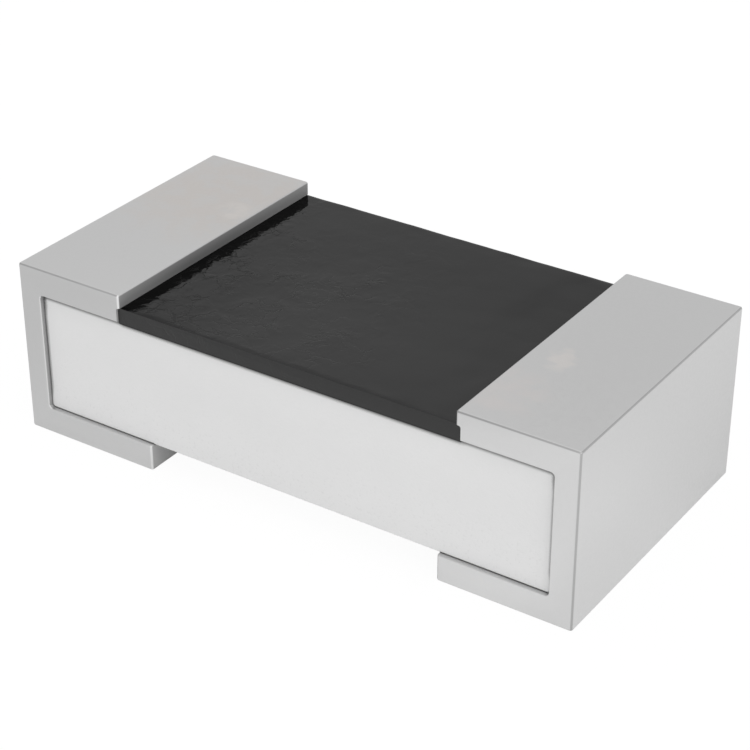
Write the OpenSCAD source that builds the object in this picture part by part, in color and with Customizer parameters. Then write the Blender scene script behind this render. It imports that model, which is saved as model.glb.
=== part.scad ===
// Surface-mount chip resistor of the 1608 metric case size: a white ceramic block carries
// a printed resistor under a black coat, between two plated metal ends that are soldered to a board.
// Sizes are in millimetres. The origin is the middle of the chip, +X runs along it from the left
// to the right end, and +Z points away from the board.

/* [Chip] */
// Length over the two plated ends
chip_length = 1.600; // [1.45:0.01:1.75]
// Width over the sides of the plated ends
chip_width = 0.795; // [0.74:0.005:0.90]

/* [Ceramic block] */
// Thickness of the ceramic block
ceramic_thickness = 0.326; // [0.26:0.002:0.42]
// How far the sides of the block stand back from the sides of the plated ends
ceramic_setback = 0.0125; // [0.011:0.0005:0.016]
// Rounding along the edges of the block
ceramic_edge_radius = 0.002; // [0.0015:0.0005:0.005]

/* [Plated ends] */
// Length of the left metal lip on top
left_lip = 0.322; // [0.28:0.0005:0.36]
// Length of the right metal lip on top
right_lip = 0.3155; // [0.28:0.0005:0.36]
// Length of the left solder pad underneath
left_pad = 0.400; // [0.28:0.0005:0.48]
// Length of the right solder pad underneath
right_pad = 0.3585; // [0.28:0.0005:0.48]
// Thickness of the tin plating
tin_thickness = 0.030; // [0.029:0.0005:0.036]
// Rounding along the edges of the tin
tin_edge_radius = 0.005; // [0.003:0.0005:0.010]
// Thickness of the nickel barrier under the tin
nickel_thickness = 0.016; // [0.012:0.0005:0.022]
// Thickness of the silver-resin electrode around each end of the block
end_electrode_thickness = 0.018; // [0.012:0.0005:0.020]
// How far the end electrode reaches over the top and under the bottom of the block
end_electrode_wrap = 0.140; // [0.08:0.005:0.16]

/* [Printed electrodes] */
// Thickness of the silver electrodes on top of the block
top_electrode_thickness = 0.0105; // [0.008:0.0005:0.012]
// How far the top electrodes run on past the metal lips, under the coat
top_electrode_reach = 0.080; // [0.07:0.002:0.12]
// Thickness of the silver electrodes under the block
bottom_electrode_thickness = 0.0085; // [0.007:0.0005:0.012]

/* [Resistor film] */
// Thickness of the printed resistor
film_thickness = 0.010; // [0.007:0.0005:0.011]
// Width of the printed resistor
film_width = 0.480; // [0.42:0.005:0.54]
// Length of the resistor that lies on each electrode
film_overlap = 0.050; // [0.03:0.002:0.06]
// Width of the laser-trim cut
trim_width = 0.040; // [0.03:0.002:0.05]
// Distance of the trim cut's first leg from the middle of the chip, towards the left
trim_offset = 0.110; // [0.06:0.005:0.15]
// Depth of the trim cut's first leg into the side of the resistor
trim_depth = 0.210; // [0.14:0.005:0.26]
// Length of the trim cut's second leg, along the resistor
trim_run = 0.180; // [0.10:0.005:0.22]

/* [Protection] */
// Thickness of the glass over the resistor
glass_thickness = 0.0065; // [0.005:0.0005:0.008]
// How far the glass reaches past the resistor on every side
glass_margin = 0.016; // [0.01:0.001:0.02]
// Height of the coat's top above the block
coat_thickness = 0.0385; // [0.036:0.0005:0.041]
// Length of the coat that is tucked under the left metal lip
left_tuck = 0.008; // [0.007:0.0005:0.018]
// Length of the coat that is tucked under the right metal lip
right_tuck = 0.0135; // [0.007:0.0005:0.018]
// How far the coat's sides stand back from the sides of the plated ends
coat_setback = 0.0065; // [0.004:0.0005:0.009]
// How far the coat hangs down over the top edges of the block
coat_hang = 0.0065; // [0.004:0.0005:0.009]
// Rounding of the coat's tucked ends
coat_end_radius = 0.006; // [0.004:0.0005:0.007]
// Rounding along the coat's sides
coat_side_radius = 0.003; // [0.002:0.0005:0.005]

/* [Hidden] */
$fn = 48;
half_length = chip_length / 2;
half_width = chip_width / 2;
plating = tin_thickness + nickel_thickness;
end_wall = plating + end_electrode_thickness;
pad_thickness = end_wall + bottom_electrode_thickness;
lip_thickness = end_wall + top_electrode_thickness;
half_height = (pad_thickness + ceramic_thickness + lip_thickness) / 2;
ceramic_end = half_length - end_wall;
ceramic_side = half_width - ceramic_setback;
ceramic_bottom = pad_thickness - half_height;
ceramic_top = half_height - lip_thickness;
ceramic_middle = (ceramic_bottom + ceramic_top) / 2;
lip_end = half_length - (left_lip + right_lip) / 2;
nickel_side = half_width - tin_thickness;
electrode_side = nickel_side - nickel_thickness;
electrode_top = ceramic_top + top_electrode_thickness;
electrode_bottom = ceramic_bottom - bottom_electrode_thickness;
electrode_inner = lip_end - top_electrode_reach;
electrode_outer = ceramic_end - ceramic_edge_radius;
film_side = film_width / 2;
film_end = electrode_inner + film_overlap;
glass_side = film_side + glass_margin;
glass_end = film_end + glass_margin;
glass_cover = film_thickness + glass_thickness;
coat_side = half_width - coat_setback;
coat_top = ceramic_top + coat_thickness;
coat_bottom = ceramic_top - coat_hang;

// Where the tip of a lip or of a solder pad lies when it is drawn at the left end
function tip(reach) = reach - half_length;

// Where the end of the coat lies when it is drawn at the left end
function coat_end(lip, tuck) = tip(lip) - tuck;

// A flat rectangle between two opposite corners
module rect(low, high) {
    translate(low)
        square(high - low);
}

// The same rectangle with all its corners rounded
module round_rect(low, high, radius) {
    rect(low + [radius, 0], high - [radius, 0]);
    rect(low + [0, radius], high - [0, radius]);
    for (x = [low.x + radius, high.x - radius])
        for (y = [low.y + radius, high.y - radius])
            translate([x, y])
                circle(radius);
}

// A rectangle with only its upper corners rounded
module round_top(low, high, radius) {
    rect(low, high - [0, radius]);
    rect(low + [radius, 0], high - [radius, 0]);
    for (x = [low.x + radius, high.x - radius])
        translate([x, high.y - radius])
            circle(radius);
}

// Carries a side-view outline across the width of the chip
module across(side) {
    rotate([90, 0, 0])
        linear_extrude(height = 2 * side, center = true)
            children();
}

// Carries an end-view outline along the length of the chip
module along(end) {
    rotate([90, 0, 90])
        linear_extrude(height = 2 * end, center = true)
            children();
}

// Carries a plan outline up through the height of the chip
module upright() {
    linear_extrude(height = 2 * half_height, center = true)
        children();
}

// A bar centred on the chip's width, between two corners of its side view, with every edge rounded
module round_bar(low, high, side, radius) {
    intersection() {
        across(side)
            round_rect(low, high, radius);
        along(half_length)
            round_rect([-side, low.y], [side, high.y], radius);
        upright()
            round_rect([low.x, -side], [high.x, side], radius);
    }
}

// Repeats an outline at both ends of the chip
module both_ends() {
    children();
    mirror([1, 0])
        children();
}

// Side view of the ceramic block
module ceramic_outline() {
    round_rect([-ceramic_end, ceramic_bottom], [ceramic_end, ceramic_top], ceramic_edge_radius);
}

// Side view of the coat's outside
module coat_outline() {
    round_top([coat_end(left_lip, left_tuck), coat_bottom], [-coat_end(right_lip, right_tuck), coat_top],
        coat_end_radius);
}

// Side view of the room for the coat under a lip, drawn at the left end
module tuck_outline(lip, tuck) {
    round_top([coat_end(lip, tuck), coat_bottom], [0, coat_top], coat_end_radius);
}

// Side view of the left top electrode
module top_electrode_outline() {
    rect([-electrode_outer, ceramic_top], [-electrode_inner, electrode_top]);
}

// Side view of a bottom electrode, which ends short of the pad's tip by the plating over it
module bottom_electrode_outline(pad) {
    rect([-electrode_outer, electrode_bottom], [tip(pad) - plating, ceramic_bottom]);
}

// Side view of a layer that lies on the block and steps up onto both electrodes
module stepped_outline(end, cover) {
    step = electrode_inner - cover;
    rect([-step, ceramic_top], [step, ceramic_top + cover]);
    both_ends() {
        rect([-electrode_inner, ceramic_top], [-step, electrode_top + cover]);
        rect([-end, electrode_top], [-step, electrode_top + cover]);
    }
}

// Side view of a layer around the block's left end, with its skin set in from the chip's outside
module wrap_outline(skin, top_tip, bottom_tip) {
    difference() {
        union() {
            rect([skin - half_length, ceramic_middle], [top_tip, half_height - skin]);
            rect([skin - half_length, skin - half_height], [bottom_tip, ceramic_middle]);
        }
        ceramic_outline();
    }
}

// Side view of the left end electrode, laid around the ends of the printed electrodes
module end_electrode_outline(pad) {
    wrap_tip = end_electrode_wrap - ceramic_end;
    difference() {
        wrap_outline(plating, wrap_tip, wrap_tip);
        top_electrode_outline();
        bottom_electrode_outline(pad);
    }
}

// Side view of the left nickel with all that lies under it
module nickel_outline(lip, tuck, pad) {
    wrap_outline(tin_thickness, coat_end(lip, tuck), tip(pad) - tin_thickness);
}

// The silver resin around a block end, drawn at the left end
module end_electrode(pad) {
    across(electrode_side)
        end_electrode_outline(pad);
}

// The nickel over the three electrodes, closed at the sides, drawn at the left end
module nickel_layer(lip, tuck, pad) {
    difference() {
        across(nickel_side)
            nickel_outline(lip, tuck, pad);
        across(electrode_side) {
            top_electrode_outline();
            bottom_electrode_outline(pad);
            end_electrode_outline(pad);
        }
    }
}

// The tin over the nickel, drawn at the left end: a lip, an end wall and a solder pad with rounded
// edges, opened for the block, for the coat's tucked end and for the nickel inside
module tin_layer(lip, tuck, pad) {
    difference() {
        union() {
            round_bar([-half_length, ceramic_top], [tip(lip), half_height], half_width,
                tin_edge_radius);
            round_bar([-half_length, -half_height], [-ceramic_end, half_height], half_width,
                tin_edge_radius);
            round_bar([-half_length, -half_height], [tip(pad), ceramic_bottom], half_width,
                tin_edge_radius);
        }
        across(half_width)
            tuck_outline(lip, tuck);
        across(nickel_side)
            nickel_outline(lip, tuck, pad);
    }
}

// The laser's path through film and glass: in from the side, then along the resistor
module trim_cut() {
    cut = trim_width / 2;
    turn = trim_depth - film_side;
    far_end = trim_run - trim_offset;
    upright() {
        rect([-trim_offset - cut, -half_width], [-trim_offset + cut, turn]);
        rect([-trim_offset, turn - cut], [far_end, turn + cut]);
        for (x = [-trim_offset, far_end])
            translate([x, turn])
                circle(cut);
    }
}

module ceramic_block() {
    color([0.93, 0.93, 0.92])
        round_bar([-ceramic_end, ceramic_bottom], [ceramic_end, ceramic_top], ceramic_side,
            ceramic_edge_radius);
}

module left_top_electrode() {
    color([0.80, 0.80, 0.77])
        across(electrode_side)
            top_electrode_outline();
}

module right_top_electrode() {
    mirror([1, 0, 0])
        left_top_electrode();
}

module left_bottom_electrode() {
    color([0.80, 0.80, 0.77])
        across(electrode_side)
            bottom_electrode_outline(left_pad);
}

module right_bottom_electrode() {
    color([0.80, 0.80, 0.77])
        mirror([1, 0, 0])
            across(electrode_side)
                bottom_electrode_outline(right_pad);
}

module resistor_film() {
    color([0.10, 0.10, 0.11])
        difference() {
            across(film_side)
                stepped_outline(film_end, film_thickness);
            trim_cut();
        }
}

module glass_layer() {
    color([0.36, 0.45, 0.40])
        difference() {
            across(glass_side)
                stepped_outline(glass_end, glass_cover);
            across(film_side)
                stepped_outline(film_end, film_thickness);
            trim_cut();
        }
}

module black_coat() {
    color([0.05, 0.05, 0.055])
        difference() {
            intersection() {
                across(coat_side)
                    coat_outline();
                along(half_length)
                    round_top([-coat_side, coat_bottom], [coat_side, coat_top], coat_side_radius);
            }
            ceramic_block();
            left_top_electrode();
            right_top_electrode();
            resistor_film();
            glass_layer();
        }
}

module left_end_electrode() {
    color([0.62, 0.62, 0.60])
        end_electrode(left_pad);
}

module right_end_electrode() {
    color([0.62, 0.62, 0.60])
        mirror([1, 0, 0])
            end_electrode(right_pad);
}

module left_nickel_layer() {
    color([0.70, 0.68, 0.62])
        nickel_layer(left_lip, left_tuck, left_pad);
}

module right_nickel_layer() {
    color([0.70, 0.68, 0.62])
        mirror([1, 0, 0])
            nickel_layer(right_lip, right_tuck, right_pad);
}

module left_tin_layer() {
    color([0.83, 0.83, 0.84])
        tin_layer(left_lip, left_tuck, left_pad);
}

module right_tin_layer() {
    color([0.83, 0.83, 0.84])
        mirror([1, 0, 0])
            tin_layer(right_lip, right_tuck, right_pad);
}

ceramic_block();
left_top_electrode();
right_top_electrode();
left_bottom_electrode();
right_bottom_electrode();
resistor_film();
glass_layer();
black_coat();
left_end_electrode();
right_end_electrode();
left_nickel_layer();
right_nickel_layer();
left_tin_layer();
right_tin_layer();
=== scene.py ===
from math import radians

import bpy
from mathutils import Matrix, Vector


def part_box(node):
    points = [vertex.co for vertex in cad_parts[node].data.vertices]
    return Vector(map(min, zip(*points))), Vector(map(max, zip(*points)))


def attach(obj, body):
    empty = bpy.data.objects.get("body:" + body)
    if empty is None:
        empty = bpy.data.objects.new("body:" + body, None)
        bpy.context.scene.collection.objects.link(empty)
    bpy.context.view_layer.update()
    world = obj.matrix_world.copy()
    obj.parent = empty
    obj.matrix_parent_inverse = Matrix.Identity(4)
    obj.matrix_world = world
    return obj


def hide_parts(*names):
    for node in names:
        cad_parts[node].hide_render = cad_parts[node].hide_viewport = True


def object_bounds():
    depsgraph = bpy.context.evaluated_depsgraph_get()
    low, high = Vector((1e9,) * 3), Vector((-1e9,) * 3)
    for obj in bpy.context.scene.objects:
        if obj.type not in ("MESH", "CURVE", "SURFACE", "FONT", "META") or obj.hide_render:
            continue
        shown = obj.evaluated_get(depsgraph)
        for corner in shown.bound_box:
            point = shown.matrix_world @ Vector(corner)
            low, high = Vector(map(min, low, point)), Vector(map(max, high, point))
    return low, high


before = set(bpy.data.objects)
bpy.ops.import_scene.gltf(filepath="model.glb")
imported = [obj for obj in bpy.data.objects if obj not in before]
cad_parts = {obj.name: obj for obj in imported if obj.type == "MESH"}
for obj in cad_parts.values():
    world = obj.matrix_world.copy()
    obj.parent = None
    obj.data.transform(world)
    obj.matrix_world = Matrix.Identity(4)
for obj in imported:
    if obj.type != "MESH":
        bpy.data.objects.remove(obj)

cad_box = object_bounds()


# The ceramic block is the white carrier of the whole chip, a bar of fired alumina. It is snapped off a
# scored plate, so its edges are crisp. Its colour holds painted shade under the coat's overhang, under the
# lips and in corners, and painted light towards the bottom.
# Sizes are in millimetres here, and each finished piece is brought to metres.
MM = 0.001
CERAMIC_EDGE = 0.002


def nothing_picked():
    """Closes any open mesh and leaves no object selected."""
    if bpy.context.object and bpy.context.object.mode != "OBJECT":
        bpy.ops.object.mode_set(mode="OBJECT")
    bpy.ops.object.select_all(action="DESELECT")


def only(piece):
    """Makes one piece the only selected and active one."""
    nothing_picked()
    piece.select_set(True)
    bpy.context.view_layer.objects.active = piece


def bar(name, low, high):
    """A bar between two corners in millimetres, with its place in its mesh."""
    nothing_picked()
    size = [b - a for a, b in zip(low, high)]
    middle = [(a + b) / 2 for a, b in zip(low, high)]
    bpy.ops.mesh.primitive_cube_add(size=1, location=middle, scale=size)
    piece = bpy.context.object
    piece.name = piece.data.name = name
    bpy.ops.object.transform_apply(location=True, rotation=False, scale=True)
    return piece


def corners_mm(name):
    """Lowest and highest corner of a CAD node in millimetres."""
    return tuple(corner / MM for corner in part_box(name))


def pick(piece, kind, rule):
    """Opens a piece with only those faces (centre, normal) or edges (end, end) picked that meet a rule."""
    only(piece)
    bpy.ops.object.mode_set(mode="EDIT")
    bpy.ops.mesh.select_mode(type=kind)
    bpy.ops.mesh.select_all(action="DESELECT")
    bpy.ops.object.mode_set(mode="OBJECT")
    mesh = piece.data
    if kind == "FACE":
        for face in mesh.polygons:
            face.select = rule(face.center, face.normal)
    else:
        for edge in mesh.edges:
            a, b = (mesh.vertices[i].co for i in edge.vertices)
            edge.select = rule(a, b)
    bpy.ops.object.mode_set(mode="EDIT")


def round_picked(radius, segments):
    """Rounds the picked edges of the open piece."""
    bpy.ops.mesh.bevel(offset_type="OFFSET", offset=radius, segments=segments, profile=0.5,
                       affect="EDGES", clamp_overlap=True)


ceramic_block = bar("ceramic_body", *corners_mm("ceramic_block"))
pick(ceramic_block, "EDGE", lambda a, b: True)
round_picked(CERAMIC_EDGE, 3)
nothing_picked()

CERAMIC_GRAINS, CERAMIC_CLOUDS = 120.0, 6.0
CERAMIC_GRAIN_DEPTH = 0.00025
CERAMIC_GLOSS = 0.35
WHITE, CLOUD_WHITE, LOWER_WHITE = 0.85, 0.862, 0.895
# The dark grey of the painted shade in the block's corners, under the coat and under the lips
PAINTED_SHADE = 0.05
LIGHTER_TOWARDS = (0.05, -0.15)
LOWER_CORNERS = (-0.15, -0.10)
UPPER_CORNERS = (0.10, 0.14)
SHADE_REACH_LOW, SHADE_REACH, SHADE_REACH_EXTRA = 0.004, 0.011, 0.003
SHADE_POWER_LOW, SHADE_POWER_HIGH = 2.4, 3.4
COAT_SHADE_FROM, COAT_SHADE_FULL, COAT_SHADE_SHARE, COAT_SHADE_END = 0.011, 0.002, 0.6, 0.008
LIP_SHADE_FROM, LIP_SHADE_FULL, LIP_SHADE_SHARE = 0.1435, 0.1535, 0.42
CORNER_SAMPLES = 12


def node(tree, kind, inputs, **settings):
    """A node with its settings, and with each input given as a value or as another node's output."""
    made = tree.nodes.new(kind)
    for key, value in settings.items():
        setattr(made, key, value)
    for key, value in inputs.items():
        if isinstance(value, bpy.types.NodeSocket):
            tree.links.new(value, made.inputs[key])
        else:
            made.inputs[key].default_value = value
    return made


def new_finish(name):
    """A material, its node tree, its shader and the place on the piece in millimetres."""
    material = bpy.data.materials.new(name)
    material.use_nodes = True
    tree = material.node_tree
    place = tree.nodes.new("ShaderNodeTexCoord")
    in_mm = node(tree, "ShaderNodeMapping", {"Vector": place.outputs["Object"],
                                             "Scale": (1 / MM, 1 / MM, 1 / MM)})
    return material, tree, tree.nodes["Principled BSDF"], in_mm.outputs["Vector"]


def grey(level):
    """A colour without hue."""
    return (level, level, level, 1)


def blend_colours(tree, factor, first, second):
    """Mixes two colours by a factor and returns the result."""
    return node(tree, "ShaderNodeMix", {0: factor, 6: first, 7: second}, data_type="RGBA").outputs[2]


def spread(tree, value, low, high, to_low=0.0, to_high=1.0):
    """Stretches a value from one range to another with soft ends."""
    return node(tree, "ShaderNodeMapRange", {"Value": value, "From Min": low, "From Max": high,
                                             "To Min": to_low, "To Max": to_high},
                interpolation_type="SMOOTHSTEP").outputs["Result"]


def calculated(tree, operation, *values):
    """The result of one sum on values or outputs."""
    return node(tree, "ShaderNodeMath", dict(enumerate(values)), operation=operation).outputs[0]


def times(tree, first, second):
    """One value times another: for two masks, where both of them are."""
    return calculated(tree, "MULTIPLY", first, second)


def plus(tree, first, second):
    """The sum of two values."""
    return calculated(tree, "ADD", first, second)


def minus(tree, first, second):
    """One value less another."""
    return calculated(tree, "SUBTRACT", first, second)


def larger(tree, first, second):
    """The larger of two values: for two masks, where either of them is."""
    return calculated(tree, "MAXIMUM", first, second)


def parts_of(tree, vector):
    """The three parts of a vector."""
    return node(tree, "ShaderNodeSeparateXYZ", {"Vector": vector}).outputs


def noise(tree, place, per_mm, detail, roughness=0.5):
    """A soft random pattern."""
    return node(tree, "ShaderNodeTexNoise", {"Vector": place, "Scale": per_mm, "Detail": detail,
                                             "Roughness": roughness}).outputs


def shade_in_corners(tree, reach):
    """Low in corners that are narrower than the reach, and 1 in the open."""
    return node(tree, "ShaderNodeAmbientOcclusion", {"Distance": reach},
                samples=CORNER_SAMPLES).outputs["AO"]


def raised(tree, height, depth):
    """A normal from a height, with its depth in millimetres."""
    return node(tree, "ShaderNodeBump", {"Height": height, "Strength": 1.0, "Distance": depth * MM}
                ).outputs["Normal"]


def dress(tree, shader, colour, roughness, normal):
    """Gives a shader its colour, roughness and normal."""
    tree.links.new(colour, shader.inputs["Base Color"])
    tree.links.new(roughness, shader.inputs["Roughness"])
    tree.links.new(normal, shader.inputs["Normal"])


def make_fine_grain():
    """The grain that fired and printed surfaces share: a fine speckle and a broad cloudiness."""
    group = bpy.data.node_groups.new("fine_grain", "ShaderNodeTree")
    face = group.interface
    face.new_socket("Place", in_out="INPUT", socket_type="NodeSocketVector")
    face.new_socket("Grains per mm", in_out="INPUT", socket_type="NodeSocketFloat")
    face.new_socket("Clouds per mm", in_out="INPUT", socket_type="NodeSocketFloat")
    face.new_socket("Speckle", in_out="OUTPUT", socket_type="NodeSocketFloat")
    face.new_socket("Cloud", in_out="OUTPUT", socket_type="NodeSocketFloat")
    taken = group.nodes.new("NodeGroupInput").outputs
    given = group.nodes.new("NodeGroupOutput").inputs
    grains = noise(group, taken["Place"], taken["Grains per mm"], 3.0, 0.6)["Fac"]
    clouds = noise(group, taken["Place"], taken["Clouds per mm"], 2.0)["Fac"]
    group.links.new(spread(group, grains, 0.25, 0.75), given["Speckle"])
    group.links.new(spread(group, clouds, 0.3, 0.7), given["Cloud"])
    return group


fine_grain = make_fine_grain()


def grain_of(tree, place, grains, clouds):
    """Places the shared grain in a material."""
    made = node(tree, "ShaderNodeGroup", {}, node_tree=fine_grain)
    tree.links.new(place, made.inputs["Place"])
    made.inputs["Grains per mm"].default_value = grains
    made.inputs["Clouds per mm"].default_value = clouds
    return made.outputs["Speckle"], made.outputs["Cloud"]


coat_low, coat_high = corners_mm("black_coat")
alumina, tree, shader, place = new_finish("alumina")
speckle, cloud = grain_of(tree, place, CERAMIC_GRAINS, CERAMIC_CLOUDS)
spot = parts_of(tree, place)
white = blend_colours(tree, cloud, grey(WHITE), grey(CLOUD_WHITE))
# Painted light: the block is painted lighter towards the bottom.
white = blend_colours(tree, spread(tree, spot["Z"], *LIGHTER_TOWARDS), white, grey(LOWER_WHITE))
white = blend_colours(tree, spread(tree, speckle, 0.0, 0.3), grey(WHITE), white)

# Painted shade: the white darkens in corners and crevices by an ambient occlusion, which reaches further
# near the bottom and the top.
shade_reach = plus(tree, spread(tree, spot["Z"], *LOWER_CORNERS, SHADE_REACH_LOW * MM, SHADE_REACH * MM),
                   spread(tree, spot["Z"], *UPPER_CORNERS, 0.0, SHADE_REACH_EXTRA * MM))
unshaded = calculated(tree, "POWER", shade_in_corners(tree, shade_reach),
                   spread(tree, spot["Z"], *UPPER_CORNERS, SHADE_POWER_LOW, SHADE_POWER_HIGH))
white = blend_colours(tree, unshaded, grey(PAINTED_SHADE), white)

# Painted shade under the coat's overhang along the sides, and under the lips at the ends.
between_ends = times(tree, spread(tree, spot["X"], coat_low.x, coat_low.x + COAT_SHADE_END),
                     spread(tree, spot["X"], coat_high.x, coat_high.x - COAT_SHADE_END))
coat_overhang_shade = spread(tree, spot["Z"], coat_low.z - COAT_SHADE_FROM, coat_low.z - COAT_SHADE_FULL)
coat_overhang_shade = times(tree, times(tree, coat_overhang_shade, between_ends), COAT_SHADE_SHARE)
under_lip = spread(tree, spot["Z"], LIP_SHADE_FROM, LIP_SHADE_FULL, 0.0, LIP_SHADE_SHARE)
under_lip = times(tree, under_lip, minus(tree, 1.0, between_ends))
white = blend_colours(tree, larger(tree, coat_overhang_shade, under_lip), white, grey(PAINTED_SHADE))
dress(tree, shader, white, spread(tree, speckle, 0.0, 1.0, 0.52, 0.64),
      raised(tree, speckle, CERAMIC_GRAIN_DEPTH))
shader.inputs["Specular IOR Level"].default_value = CERAMIC_GLOSS


def apply_modifier(piece, kind, **settings):
    """Puts a modifier on a piece and applies it."""
    only(piece)
    modifier = piece.modifiers.new(kind.lower(), kind)
    for key, value in settings.items():
        setattr(modifier, key, value)
    bpy.ops.object.modifier_apply(modifier=modifier.name)


def finished(piece, material):
    """Brings a piece from millimetres to metres, smooths its roundings and gives it its material."""
    only(piece)
    piece.scale = (MM, MM, MM)
    bpy.ops.object.transform_apply(location=False, rotation=False, scale=True)
    bpy.ops.object.shade_smooth_by_angle(angle=radians(35))
    apply_modifier(piece, "WEIGHTED_NORMAL", keep_sharp=True)
    piece.data.materials.clear()
    piece.data.materials.append(material)


finished(ceramic_block, alumina)
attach(ceramic_block, "root")
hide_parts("ceramic_block")


# The printed electrodes are four thin pads of silver paste, screened onto the block's top and board
# side and fired. They lie under the plating, and the top two run on under the coat.
SILVER_GRAINS, SILVER_CLOUDS = 90.0, 9.0
SILVER_DARK, SILVER_LIGHT = (0.62, 0.61, 0.57, 1), (0.80, 0.79, 0.75, 1)
SILVER_GRAIN_DEPTH = 0.0008

silver_print, tree, shader, place = new_finish("silver_print")
speckle, cloud = grain_of(tree, place, SILVER_GRAINS, SILVER_CLOUDS)
dress(tree, shader, blend_colours(tree, speckle, SILVER_DARK, SILVER_LIGHT),
      spread(tree, cloud, 0.0, 1.0, 0.42, 0.6), raised(tree, speckle, SILVER_GRAIN_DEPTH))
shader.inputs["Metallic"].default_value = 1.0


def finish_nodes(material, slot, *names):
    """Gives CAD nodes that keep their shape their material; the slot is not used."""
    for name in names:
        for material_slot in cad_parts[name].material_slots:
            material_slot.material = material


finish_nodes(silver_print, "silver_print", "left_top_electrode", "right_top_electrode",
             "left_bottom_electrode", "right_bottom_electrode")


# The resistor film is the working part: a dark ruthenium glass paste, screened between the top
# electrodes and fired, then cut by a laser until its resistance is right.
FILM_GRAINS, FILM_CLOUDS = 110.0, 12.0
FILM_DARK, FILM_LIGHT = (0.02, 0.02, 0.023, 1), (0.055, 0.055, 0.06, 1)
FILM_GRAIN_DEPTH = 0.0006

resistor_paste, tree, shader, place = new_finish("resistor_paste")
speckle, cloud = grain_of(tree, place, FILM_GRAINS, FILM_CLOUDS)
dress(tree, shader, blend_colours(tree, speckle, FILM_DARK, FILM_LIGHT),
      spread(tree, cloud, 0.0, 1.0, 0.5, 0.7), raised(tree, speckle, FILM_GRAIN_DEPTH))
finish_nodes(resistor_paste, "resistor_paste", "resistor_film")


# The glass layer is a thin greenish glaze, screened over the film and fired before the laser cut, so
# that the cut edges of the film stay clean.
GLASS_GRAINS, GLASS_CLOUDS = 40.0, 8.0
GLASS_DARK, GLASS_LIGHT = (0.10, 0.16, 0.12, 1), (0.14, 0.20, 0.16, 1)
GLASS_CLOUD_DEPTH = 0.0005

glass_glaze, tree, shader, place = new_finish("glass_glaze")
speckle, cloud = grain_of(tree, place, GLASS_GRAINS, GLASS_CLOUDS)
dress(tree, shader, blend_colours(tree, cloud, GLASS_DARK, GLASS_LIGHT),
      spread(tree, speckle, 0.0, 1.0, 0.1, 0.22), raised(tree, cloud, GLASS_CLOUD_DEPTH))
finish_nodes(glass_glaze, "glass_glaze", "glass_layer")


# The black coat is an epoxy resin, screened over the printed layers and cured, so that its skin is
# glossy and finely wrinkled. Its ends are tucked under the metal lips and its sides hang over the block.
COAT_END_ROUND = 0.006
COAT_SIDE_ROUND = 0.003
COAT_LOWER_ROUND = 0.004
COAT_CUTS = 100
LONG_EDGE = 0.5
WAVE_HEIGHT, WAVE_SIZE = 0.0007, 0.14
WRINKLE_HEIGHT, WRINKLE_SIZE = 0.0005, 0.11
RIM_HEIGHT, RIM_SIZE = 0.0026, 0.10
RIM_REACH, RIM_END = 0.05, 0.47

coat_top = coat_high.z
block_low, block_high = corners_mm("ceramic_block")


def near(a, b):
    """Whether two measures in millimetres are the same."""
    return abs(a - b) < 1e-4


def cut_out(piece, low, high):
    """Cuts a bar between two corners out of a piece."""
    cutter = bar("cutter", low, high)
    apply_modifier(piece, "BOOLEAN", object=cutter, operation="DIFFERENCE", solver="EXACT")
    bpy.data.objects.remove(cutter)


black_coat = bar("coat_skin", coat_low, coat_high)
pick(black_coat, "EDGE", lambda a, b: near(a.x, b.x) and near(a.z, coat_top) and near(b.z, coat_top))
round_picked(COAT_END_ROUND, 6)
pick(black_coat, "EDGE", lambda a, b: near(a.x, b.x) and near(a.z, coat_low.z) and near(b.z, coat_low.z))
round_picked(COAT_LOWER_ROUND, 4)
pick(black_coat, "EDGE", lambda a, b: near(a.y, b.y) and near(a.z, coat_top) and near(b.z, coat_top))
round_picked(COAT_SIDE_ROUND, 3)
nothing_picked()

cut_out(black_coat, (block_low.x, block_low.y, 0.0), (block_high.x, block_high.y, block_high.z))
for name in ("left_top_electrode", "right_top_electrode", "glass_layer"):
    low, high = corners_mm(name)
    cut_out(black_coat, (low.x, low.y, 0.0), high)

top_from = coat_top - COAT_SIDE_ROUND - 0.0005
pick(black_coat, "EDGE", lambda a, b: abs(a.x - b.x) > LONG_EDGE and min(a.z, b.z) > top_from)
bpy.ops.mesh.subdivide(number_cuts=COAT_CUTS)
pick(black_coat, "EDGE", lambda a, b: abs(a.y - b.y) > LONG_EDGE and min(a.z, b.z) > top_from)
bpy.ops.mesh.subdivide(number_cuts=COAT_CUTS)
nothing_picked()

skin = black_coat.vertex_groups.new(name="skin")
rim = black_coat.vertex_groups.new(name="rim")
for point in black_coat.data.vertices:
    if point.co.z > coat_top - COAT_SIDE_ROUND * 0.9:
        skin.add([point.index], 1.0, "REPLACE")
        from_side = min(1.0, (coat_high.y - abs(point.co.y)) / RIM_REACH)
        from_lip = min(1.0, max(0.0, (RIM_END - abs(point.co.x)) / RIM_REACH))
        rim.add([point.index], (1.0 - from_side) ** 2 * from_lip, "REPLACE")


def raise_skin(piece, group, kind, height, level, **settings):
    """Moves the points of a group up or down by a pattern, which keeps still at its given level."""
    pattern = bpy.data.textures.new(piece.name + "_" + group, kind)
    for key, value in settings.items():
        setattr(pattern, key, value)
    apply_modifier(piece, "DISPLACE", texture=pattern, texture_coords="LOCAL", direction="Z",
                   strength=height, mid_level=level, vertex_group=group)


raise_skin(black_coat, "skin", "CLOUDS", WAVE_HEIGHT, 1.0, noise_scale=WAVE_SIZE, noise_depth=1)
raise_skin(black_coat, "skin", "VORONOI", WRINKLE_HEIGHT, 1.0, noise_scale=WRINKLE_SIZE,
           weight_1=-1.0, weight_2=1.0)
raise_skin(black_coat, "rim", "CLOUDS", RIM_HEIGHT, 0.5, noise_scale=RIM_SIZE, noise_depth=1)

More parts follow.
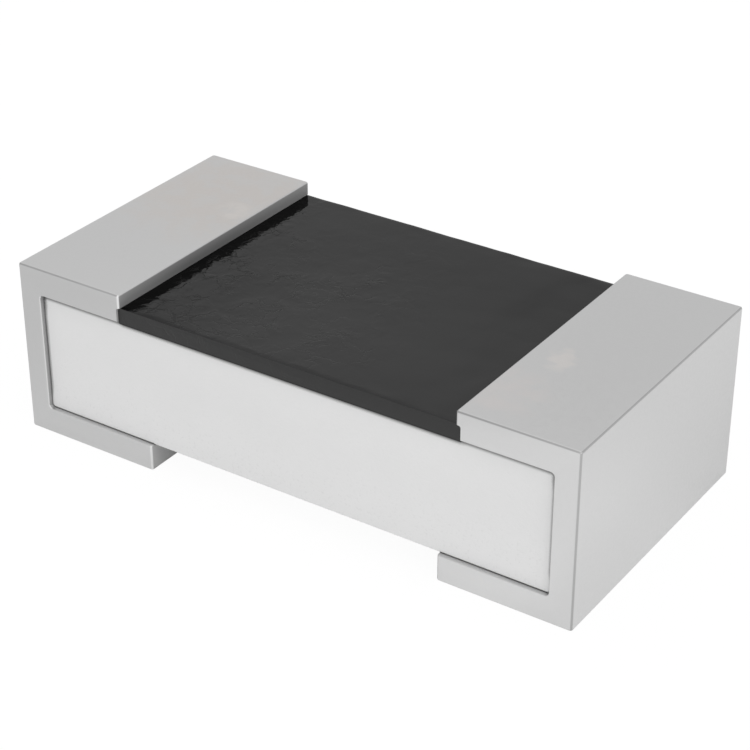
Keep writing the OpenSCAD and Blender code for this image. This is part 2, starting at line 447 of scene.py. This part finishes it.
SKIN_DEPTH = 0.0007
COAT_IOR = 1.345
WARP_PER_MM, WARP_REACH = 11.0, 0.15
PATCHES_PER_MM = 5.0
FINE_PER_MM, FINE_SHARE = 90.0, 0.04
FOLDS_PER_MM = 34.0
WANDER_PER_MM, WANDER_REACH = 14.0, 0.03
ROUGHER_LEFTWARDS = (0.36, -0.10, 0.04, 1.0)
ROUGHER_FORWARDS = (0.38, -0.05, 0.2, 1.0)
FOLDS_BY_LEFT_LIP = (-0.34, -0.44, 0.0, 1.6)
FRONT_EDGE_FALL = (-0.004, 0.018)
FALL_LEFTWARDS = (0.42, 0.25, 0.6, 2.0)
# Each kind of wrinkle line: cells and gaps to the millimetre, width in cells, and depth
WRINKLE_LINES = [
    {"cells": 12.0, "gaps": 9.0, "width": 0.03, "depth": 0.44},
    {"cells": 25.0, "gaps": 13.0, "width": 0.05, "depth": 0.31},
]
# The coat's greys stand in for the light it mirrors: painted light and shade.
SIDE_GREYS, SIDE_LIGHTER_AT = (0.013, 0.036), 0.005
TOP_GREYS = (0.0008, 0.0150)
GLOSSY, LINE_DULL, SIDE_DULL = 0.02, 0.42, 0.3


def vectors(tree, operation, first, second):
    """The node of one sum on two vectors."""
    return node(tree, "ShaderNodeVectorMath", {0: first, 1: second}, operation=operation)


black_resin, tree, shader, place = new_finish("black_resin")
spot = parts_of(tree, place)
warp = vectors(tree, "MULTIPLY", noise(tree, place, WARP_PER_MM, 4.0, 0.6)["Color"],
               (WARP_REACH, WARP_REACH, 0.0)).outputs["Vector"]
warped = vectors(tree, "ADD", place, warp).outputs["Vector"]
patchy = noise(tree, place, PATCHES_PER_MM, 2.0)["Fac"]
rough_part = times(tree, spread(tree, spot["X"], *ROUGHER_LEFTWARDS),
                   spread(tree, spot["Y"], *ROUGHER_FORWARDS))
rough_part = times(tree, rough_part, spread(tree, patchy, 0.40, 0.56, 0.55, 1.0))

skin_height = times(tree, noise(tree, place, FINE_PER_MM, 2.0)["Fac"], FINE_SHARE)
marks = 0.0
for line in WRINKLE_LINES:
    cells = node(tree, "ShaderNodeTexVoronoi", {"Vector": warped, "Scale": line["cells"]},
                 feature="DISTANCE_TO_EDGE").outputs["Distance"]
    gaps = noise(tree, place, line["gaps"], 1.0)["Fac"]
    seen = times(tree, rough_part, spread(tree, gaps, 0.40, 0.56, 0.0, line["depth"]))
    beside_line = times(tree, spread(tree, cells, 0.0, line["width"]), seen)
    skin_height = plus(tree, skin_height, beside_line)
    marks = plus(tree, marks, minus(tree, seen, beside_line))
folded = larger(tree, rough_part, spread(tree, spot["X"], *FOLDS_BY_LEFT_LIP))
folds = times(tree, noise(tree, warped, FOLDS_PER_MM, 1.0)["Fac"], folded)
skin_height = plus(tree, skin_height, folds)

wander = minus(tree, noise(tree, place, WANDER_PER_MM, 2.0)["Fac"], 0.5)
from_front = calculated(tree, "MULTIPLY_ADD", wander, WANDER_REACH, minus(tree, spot["Y"], coat_low.y))
front_edge = times(tree, spread(tree, from_front, *FRONT_EDGE_FALL),
                   spread(tree, spot["X"], *FALL_LEFTWARDS))
skin_height = plus(tree, skin_height, front_edge)

upright = parts_of(tree, node(tree, "ShaderNodeNewGeometry", {}).outputs["Normal"])["Z"]
side = spread(tree, upright, 0.9, 0.3)
# Painted light and shade: the sides are lighter than the top and darker along their lower edge, and the top
# is lighter towards the front and the right.
side_grey = blend_colours(tree, spread(tree, spot["Z"], coat_low.z, coat_low.z + SIDE_LIGHTER_AT),
                          *map(grey, SIDE_GREYS))
near_front = times(tree, spread(tree, spot["Y"], 0.35, -0.30), spread(tree, spot["X"], -0.40, -0.08))
top_grey = blend_colours(tree, near_front, *map(grey, TOP_GREYS))
dullness = larger(tree, spread(tree, marks, 0.0, 0.45, GLOSSY, LINE_DULL),
                  spread(tree, side, 0.0, 1.0, 0.0, SIDE_DULL))
dress(tree, shader, blend_colours(tree, side, top_grey, side_grey), dullness,
      raised(tree, skin_height, SKIN_DEPTH))
shader.inputs["IOR"].default_value = COAT_IOR

finished(black_coat, black_resin)
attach(black_coat, "root")
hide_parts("black_coat")


# The end electrodes are a silver-filled resin, rolled onto each end of the block and cured. They join
# the printed silver on the top to that on the board side.
RESIN_GRAINS, RESIN_CLOUDS = 130.0, 10.0
RESIN_DARK, RESIN_LIGHT = (0.36, 0.36, 0.34, 1), (0.62, 0.62, 0.60, 1)
RESIN_GRAIN_DEPTH = 0.0008

silver_resin, tree, shader, place = new_finish("silver_resin")
speckle, cloud = grain_of(tree, place, RESIN_GRAINS, RESIN_CLOUDS)
dress(tree, shader, blend_colours(tree, speckle, RESIN_DARK, RESIN_LIGHT),
      spread(tree, cloud, 0.0, 1.0, 0.5, 0.65), raised(tree, speckle, RESIN_GRAIN_DEPTH))
shader.inputs["Metallic"].default_value = 0.8
finish_nodes(silver_resin, "silver_resin", "left_end_electrode", "right_end_electrode")


# The nickel layers are the barrier that keeps solder from eating the silver. They are plated over all
# the electrodes in a barrel bath, so they have a satin, faintly yellow skin.
NICKEL_GRAINS, NICKEL_CLOUDS = 80.0, 7.0
NICKEL_DARK, NICKEL_LIGHT = (0.56, 0.52, 0.45, 1), (0.62, 0.58, 0.51, 1)
NICKEL_GRAIN_DEPTH = 0.0003

nickel, tree, shader, place = new_finish("nickel")
speckle, cloud = grain_of(tree, place, NICKEL_GRAINS, NICKEL_CLOUDS)
dress(tree, shader, blend_colours(tree, cloud, NICKEL_DARK, NICKEL_LIGHT),
      spread(tree, speckle, 0.0, 1.0, 0.28, 0.4), raised(tree, speckle, NICKEL_GRAIN_DEPTH))
shader.inputs["Metallic"].default_value = 1.0
finish_nodes(nickel, "nickel", "left_nickel_layer", "right_nickel_layer")


# The tin ends are the outer plating, which solder wets. Each one is a satin C of lip, end wall and
# solder pad around an end of the block, hollow where the nickel lies, with rounded edges. Handling has
# left faint warm stains on the lips.
TIN_THICKNESS = 0.030
TIN_CORNER = 0.0070
TIN_EDGE = 0.0055
TIN_INNER_EDGE = 0.0033
TIN_INNER_CORNER = 0.010
END_WALL = 0.064
LEFT_LIP = 0.323
RIGHT_LIP = 0.3158
NICKEL_PAST_COAT = 0.0005
NOTCH_SPARE = 0.1

TIN_GRAINS, TIN_CLOUDS = 100.0, 18.0
TIN_GRAIN_DEPTH = 0.0001
TIN_TONE = 0.720
RIM_SHADE_TONES = (0.54, 0.475)
END_TOP_SHADE_TONE = 0.61
GLINT_TONE = 0.90
LIP_FACE_SHADES = (0.165, 0.25)
LIP_UPPER_TONE, LIP_UPPER_SHARE, LIP_UPPER_FROM, LIP_UPPER_FULL = 0.45, 0.32, 0.006, 0.036
LIP_MIRRORED_TONE = 0.10
POST_FACE_SHADE = 0.50
CREASE_SHADE_TONE, CREASE_REACH, CREASE_POWER = 0.02, 0.028, 0.6
STAIN_RAGGED = 0.045
# Each stain: its place along and across the chip, how far it reaches, and its colour
STAINS = [
    (-0.60, 0.20, 0.36, (0.728, 0.698, 0.676, 1)),
    (-0.52, 0.145, 0.06, (0.775, 0.745, 0.722, 1)),
    (0.578, -0.067, 0.05, (0.79, 0.768, 0.752, 1)),
    (0.525, -0.27, 0.13, (0.750, 0.730, 0.723, 1)),
]

tin_top = corners_mm("left_tin_layer")[1].z
tin, tree, shader, place = new_finish("tin")
speckle, cloud = grain_of(tree, place, TIN_GRAINS, TIN_CLOUDS)
spot = parts_of(tree, place)
facing = parts_of(tree, node(tree, "ShaderNodeNewGeometry", {}).outputs["Normal"])
inward = times(tree, calculated(tree, "SIGN", spot["X"]), times(tree, facing["X"], -1.0))
on_left = spread(tree, spot["X"], 0.05, -0.05)
on_right = spread(tree, spot["X"], -0.05, 0.05)

blotchy = times(tree, spread(tree, cloud, 0.1, 0.7, 0.6, 1.0), spread(tree, facing["Z"], 0.8, 0.95))
ragged = times(tree, minus(tree, 0.5, cloud), STAIN_RAGGED)
bright = grey(TIN_TONE)
for x, y, reach, tone in STAINS:
    away = vectors(tree, "DISTANCE", place, (x, y, tin_top)).outputs["Value"]
    stain = spread(tree, plus(tree, away, ragged), reach, 0.25 * reach)
    bright = blend_colours(tree, times(tree, stain, blotchy), bright, tone)

# Painted shade: the rounded edges are painted darker, most at the right, the right end's top edge a little
# less; not those facing the middle on the left, those facing down, nor the upward ones by the pad ledges.
squarest = larger(tree, calculated(tree, "ABSOLUTE", facing["X"]), calculated(tree, "ABSOLUTE", facing["Y"]))
squarest = larger(tree, squarest, calculated(tree, "ABSOLUTE", facing["Z"]))
rim_shade = larger(tree, spread(tree, inward, 0.5, 0.2), on_right)
above_ledge = larger(tree, spread(tree, spot["Z"], -0.155, -0.145), spread(tree, facing["Z"], 0.3, 0.1))
rim_shade = times(tree, rim_shade, times(tree, above_ledge, spread(tree, facing["Z"], -0.6, -0.2)))
rim_shade = times(tree, spread(tree, squarest, 0.98, 0.88), rim_shade)
rim_shade_tone = blend_colours(tree, spread(tree, spot["X"], -0.3, 0.5), *map(grey, RIM_SHADE_TONES))
end_top = times(tree, spread(tree, facing["X"], 0.4, 0.7), spread(tree, facing["Z"], 0.3, 0.6))
rim_shade_tone = blend_colours(tree, end_top, rim_shade_tone, grey(END_TOP_SHADE_TONE))
bright = blend_colours(tree, rim_shade, bright, rim_shade_tone)
# Painted highlight: the left end's inner edges are painted light.
glint = times(tree, spread(tree, inward, 0.15, 0.4), on_left)
glint = times(tree, glint, spread(tree, facing["Z"], 0.4, 0.2))
bright = blend_colours(tree, glint, bright, grey(GLINT_TONE))

# Painted shade on the faces that face the middle, which are also made dull and not metallic: the lips' inner
# faces are dark grey, lighter towards their ends, painted lighter higher up and darker where the coat
# mirrors them; below the coat's top the posts' and pads' inner faces get a mid grey.
lip_ends = larger(tree, spread(tree, spot["Y"], -0.10, -0.36), spread(tree, spot["Y"], 0.0, 0.36))
lip_face_shade = blend_colours(tree, lip_ends, *map(grey, LIP_FACE_SHADES))
upper = spread(tree, spot["Z"], coat_top + LIP_UPPER_FROM, coat_top + LIP_UPPER_FULL, 0.0, LIP_UPPER_SHARE)
lip_face_shade = blend_colours(tree, upper, lip_face_shade, grey(LIP_UPPER_TONE))
mirrored = node(tree, "ShaderNodeLightPath", {}).outputs["Is Glossy Ray"]
lip_face_shade = blend_colours(tree, mirrored, lip_face_shade, grey(LIP_MIRRORED_TONE))
above_coat = spread(tree, spot["Z"], coat_top - 0.003, coat_top)
inner_face_shade = blend_colours(tree, above_coat, grey(POST_FACE_SHADE), lip_face_shade)
dull_and_shaded = spread(tree, inward, 0.78, 0.96)
plate = blend_colours(tree, dull_and_shaded, bright, inner_face_shade)

# Painted shade: the tin darkens nearly to black in crevices by an ambient occlusion, from just below the
# block to just below the coat.
open_part = calculated(tree, "POWER", shade_in_corners(tree, CREASE_REACH * MM), CREASE_POWER)
open_part = larger(tree, open_part, spread(tree, spot["Z"], 0.14, 0.16))
open_part = larger(tree, open_part, spread(tree, spot["Z"], block_low.z - 0.003, block_low.z - 0.008))
dullness = larger(tree, spread(tree, speckle, 0.0, 1.0, 0.30, 0.38), times(tree, dull_and_shaded, 0.8))
dress(tree, shader, blend_colours(tree, open_part, grey(CREASE_SHADE_TONE), plate), dullness,
      raised(tree, speckle, TIN_GRAIN_DEPTH))
tree.links.new(spread(tree, dull_and_shaded, 0.0, 1.0, 1.0, 0.0), shader.inputs["Metallic"])


def tin_end(name, cad_node, lip, toward):
    """The tin around one end of the block; its lip and pad point toward +X (1) or -X (-1)."""
    low, high = corners_mm(cad_node)
    outside = low.x if toward > 0 else high.x
    pad_tip = high.x if toward > 0 else low.x
    tuck = coat_low.x if toward > 0 else coat_high.x
    inside = outside + toward * END_WALL
    lip_tip = outside + toward * lip

    def faces_block(normal):
        return normal.x * toward > 0.9

    def x_span(a, b):
        return min(a, b), max(a, b)

    def upright_edge(a, b):
        free = (near(a.x, x) and near(b.x, x) for x in (outside, lip_tip, pad_tip))
        return any(free) and near(a.y, b.y) and not near(a.z, b.z)

    def flat_edge(a, b):
        return any(near(a.z, z) and near(b.z, z) for z in (low.z, high.z))

    x0, x1 = x_span(outside, inside)
    cup = bar(name, (x0, low.y, low.z), (x1, high.y, high.z))
    for level in (block_low.z, block_high.z):
        pick(cup, "FACE", lambda centre, normal: True)
        bpy.ops.mesh.bisect(plane_co=(0, 0, level), plane_no=(0, 0, 1))
    pick(cup, "FACE", lambda centre, normal: faces_block(normal) and centre.z > block_high.z)
    bpy.ops.mesh.extrude_region_move(TRANSFORM_OT_translate={"value": (lip_tip - inside, 0, 0)})
    pick(cup, "FACE", lambda centre, normal: faces_block(normal) and centre.z < block_low.z)
    bpy.ops.mesh.extrude_region_move(TRANSFORM_OT_translate={"value": (pad_tip - inside, 0, 0)})
    bpy.ops.mesh.select_all(action="SELECT")
    bpy.ops.mesh.dissolve_limited(angle_limit=radians(1))

    pick(cup, "EDGE", lambda a, b: near(a.x, inside) and near(b.x, inside) and near(a.z, b.z))
    round_picked(TIN_INNER_CORNER, 6)
    pick(cup, "EDGE", upright_edge)
    round_picked(TIN_CORNER, 5)
    pick(cup, "EDGE", flat_edge)
    round_picked(TIN_EDGE, 5)
    bpy.ops.mesh.select_all(action="DESELECT")
    bpy.ops.mesh.edges_select_sharp(sharpness=radians(50))
    bpy.ops.object.mode_set(mode="OBJECT")
    for edge in cup.data.edges:
        ends = [cup.data.vertices[i].co for i in edge.vertices]
        if all(near(end.x, lip_tip) and near(end.z, block_high.z) for end in ends):
            edge.select = False
    bpy.ops.object.mode_set(mode="EDIT")
    round_picked(TIN_INNER_EDGE, 4)
    nothing_picked()

    x0, x1 = x_span(tuck, lip_tip + toward * NOTCH_SPARE)
    notch = bar("notch_for_coat", (x0, low.y - NOTCH_SPARE, 0.0), (x1, high.y + NOTCH_SPARE, coat_top))
    pick(notch, "EDGE", lambda a, b: near(a.x, tuck) and near(b.x, tuck)
         and near(a.z, coat_top) and near(b.z, coat_top))
    round_picked(COAT_END_ROUND, 6)
    nothing_picked()

    skin_x = outside + toward * TIN_THICKNESS
    nickel_tip = tuck + toward * NICKEL_PAST_COAT
    x0, x1 = x_span(skin_x, nickel_tip)
    hollow = bar("hollow_for_nickel", (x0, low.y + TIN_THICKNESS, low.z + TIN_THICKNESS),
                 (x1, high.y - TIN_THICKNESS, high.z - TIN_THICKNESS))
    pick(hollow, "FACE", lambda centre, normal: True)
    bpy.ops.mesh.bisect(plane_co=(0, 0, 0), plane_no=(0, 0, 1))
    pick(hollow, "FACE", lambda centre, normal: faces_block(normal) and centre.z < 0)
    bpy.ops.mesh.extrude_region_move(
        TRANSFORM_OT_translate={"value": (pad_tip - toward * TIN_THICKNESS - nickel_tip, 0, 0)})
    nothing_picked()

    for cutter in (notch, hollow):
        apply_modifier(cup, "BOOLEAN", object=cutter, operation="DIFFERENCE", solver="EXACT")
        bpy.data.objects.remove(cutter)
    finished(cup, tin)
    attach(cup, "root")
    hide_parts(cad_node)


tin_end("left_tin_end", "left_tin_layer", LEFT_LIP, 1)
tin_end("right_tin_end", "right_tin_layer", RIGHT_LIP, -1)


# The chip lies on a plain white table. The table is white to the camera and keeps a faint shadow of
# the chip, and the metal sees it darker, most of all on the left.
FLOOR_REACH = 40.0
FLOOR_GAP = 0.0005
FLOOR_GLOW = 0.95
FLOOR_SHADOW_TONE, METAL_SHADOW_TONE = 0.065, 0.36
PAPER_TONE = 0.8
METAL_SIDES, METAL_GLOWS, METAL_GLOW_LESS = (-1.2, 0.55), (0.688, 0.925), 0.30

nothing_picked()
floor_height = cad_box[0].z - FLOOR_GAP * MM
bpy.ops.mesh.primitive_plane_add(size=2 * FLOOR_REACH * MM, location=(0, 0, floor_height))
floor = bpy.context.object
floor.name = "table_top"
bpy.ops.object.transform_apply(location=True)

floor_white, tree, shader, place = new_finish("floor_white")
tree.nodes.remove(shader)
spot = parts_of(tree, place)
rays = node(tree, "ShaderNodeLightPath", {}).outputs
across = node(tree, "ShaderNodeMapRange", {
    "Value": spot["X"], "From Min": METAL_SIDES[0], "From Max": METAL_SIDES[1],
    "To Min": METAL_GLOWS[0], "To Max": METAL_GLOWS[1]}).outputs["Result"]
metal_glow = times(tree, across, spread(tree, spot["Y"], 0.0, 0.6, 1.0, 0.90))
dip = times(tree, spread(tree, spot["X"], 0.6, 0.75), spread(tree, spot["X"], 1.1, 0.9, 0.0, 0.05))
metal_glow = minus(tree, minus(tree, metal_glow, dip), METAL_GLOW_LESS)


def blend_values(tree, factor, first, second):
    """Mixes two values by a factor and returns the result."""
    return node(tree, "ShaderNodeMix", {0: factor, 2: first, 3: second}, data_type="FLOAT").outputs[0]


glow = blend_values(tree, rays["Is Glossy Ray"], FLOOR_GLOW, metal_glow)
shadow_tone = blend_colours(tree, rays["Is Glossy Ray"], grey(FLOOR_SHADOW_TONE), grey(METAL_SHADOW_TONE))
shadowed = node(tree, "ShaderNodeBsdfDiffuse", {"Color": shadow_tone})
light = node(tree, "ShaderNodeEmission", {"Strength": glow})
lit = node(tree, "ShaderNodeAddShader", {0: shadowed.outputs[0], 1: light.outputs[0]})
paper = node(tree, "ShaderNodeBsdfDiffuse", {"Color": grey(PAPER_TONE)})
direct = larger(tree, rays["Is Camera Ray"], rays["Is Glossy Ray"])
direct = larger(tree, direct, rays["Is Transmission Ray"])
surface = node(tree, "ShaderNodeMixShader", {0: direct, 1: paper.outputs[0], 2: lit.outputs[0]})
tree.links.new(surface.outputs[0], tree.nodes["Material Output"].inputs["Surface"])
floor.data.materials.append(floor_white)


# The light is a wide white studio: even all round, stronger from the front right and from above, and
# weaker at the front left, at the back right and in one narrow place that the coat mirrors.
EVEN_LIGHT = 0.685
# Each change: its direction, the cosines where it is full and where it ends, and its strength
LIGHT_CHANGES = [
    ((0.45, -0.80, 0.40), 0.95, 0.3, 0.45),
    ((0.0, 0.0, 1.0), 1.0, 0.6, 0.30),
    ((-0.48, -0.50, 0.72), 0.99, 0.8, -0.25),
    ((0.50, 0.72, 0.48), 0.99, 0.85, -0.10),
    ((-0.3372, 0.7574, 0.5592), 0.9970, 0.9915, -0.085),
]

studio = bpy.data.worlds.new("studio")
studio.use_nodes = True
tree = studio.node_tree
direction = node(tree, "ShaderNodeTexCoord", {}).outputs["Generated"]
total = EVEN_LIGHT
for towards, full, end, strength in LIGHT_CHANGES:
    aim = vectors(tree, "DOT_PRODUCT", direction, Vector(towards).normalized()).outputs["Value"]
    total = plus(tree, total, spread(tree, aim, end, full, 0.0, strength))
rays = node(tree, "ShaderNodeLightPath", {}).outputs
background = tree.nodes["Background"]
background.inputs["Color"].default_value = grey(1)
tree.links.new(blend_values(tree, rays["Is Camera Ray"], total, 1.0), background.inputs["Strength"])
bpy.context.scene.world = studio


# The camera stands in front and to the right, about 30 degrees above the table. Its place is in
# metres, and it looks a little past the middle of the chip, as the photo is framed.
CAMERA_AT = (0.00252032, -0.00374832, 0.0025899)
CAMERA_LOOK = (-0.4825, 0.7189, -0.5003)

camera_data = bpy.data.cameras.new("camera")
camera_data.lens = 100
camera_data.sensor_width = 36
camera_data.clip_start = 0.0001
camera_data.clip_end = 1.0
camera = bpy.data.objects.new("camera", camera_data)
camera.location = CAMERA_AT
camera.rotation_mode = "QUATERNION"
camera.rotation_quaternion = Vector(CAMERA_LOOK).to_track_quat("-Z", "Y")
bpy.context.scene.collection.objects.link(camera)
bpy.context.scene.camera = camera
bpy.context.scene.view_settings.view_transform = "Standard"
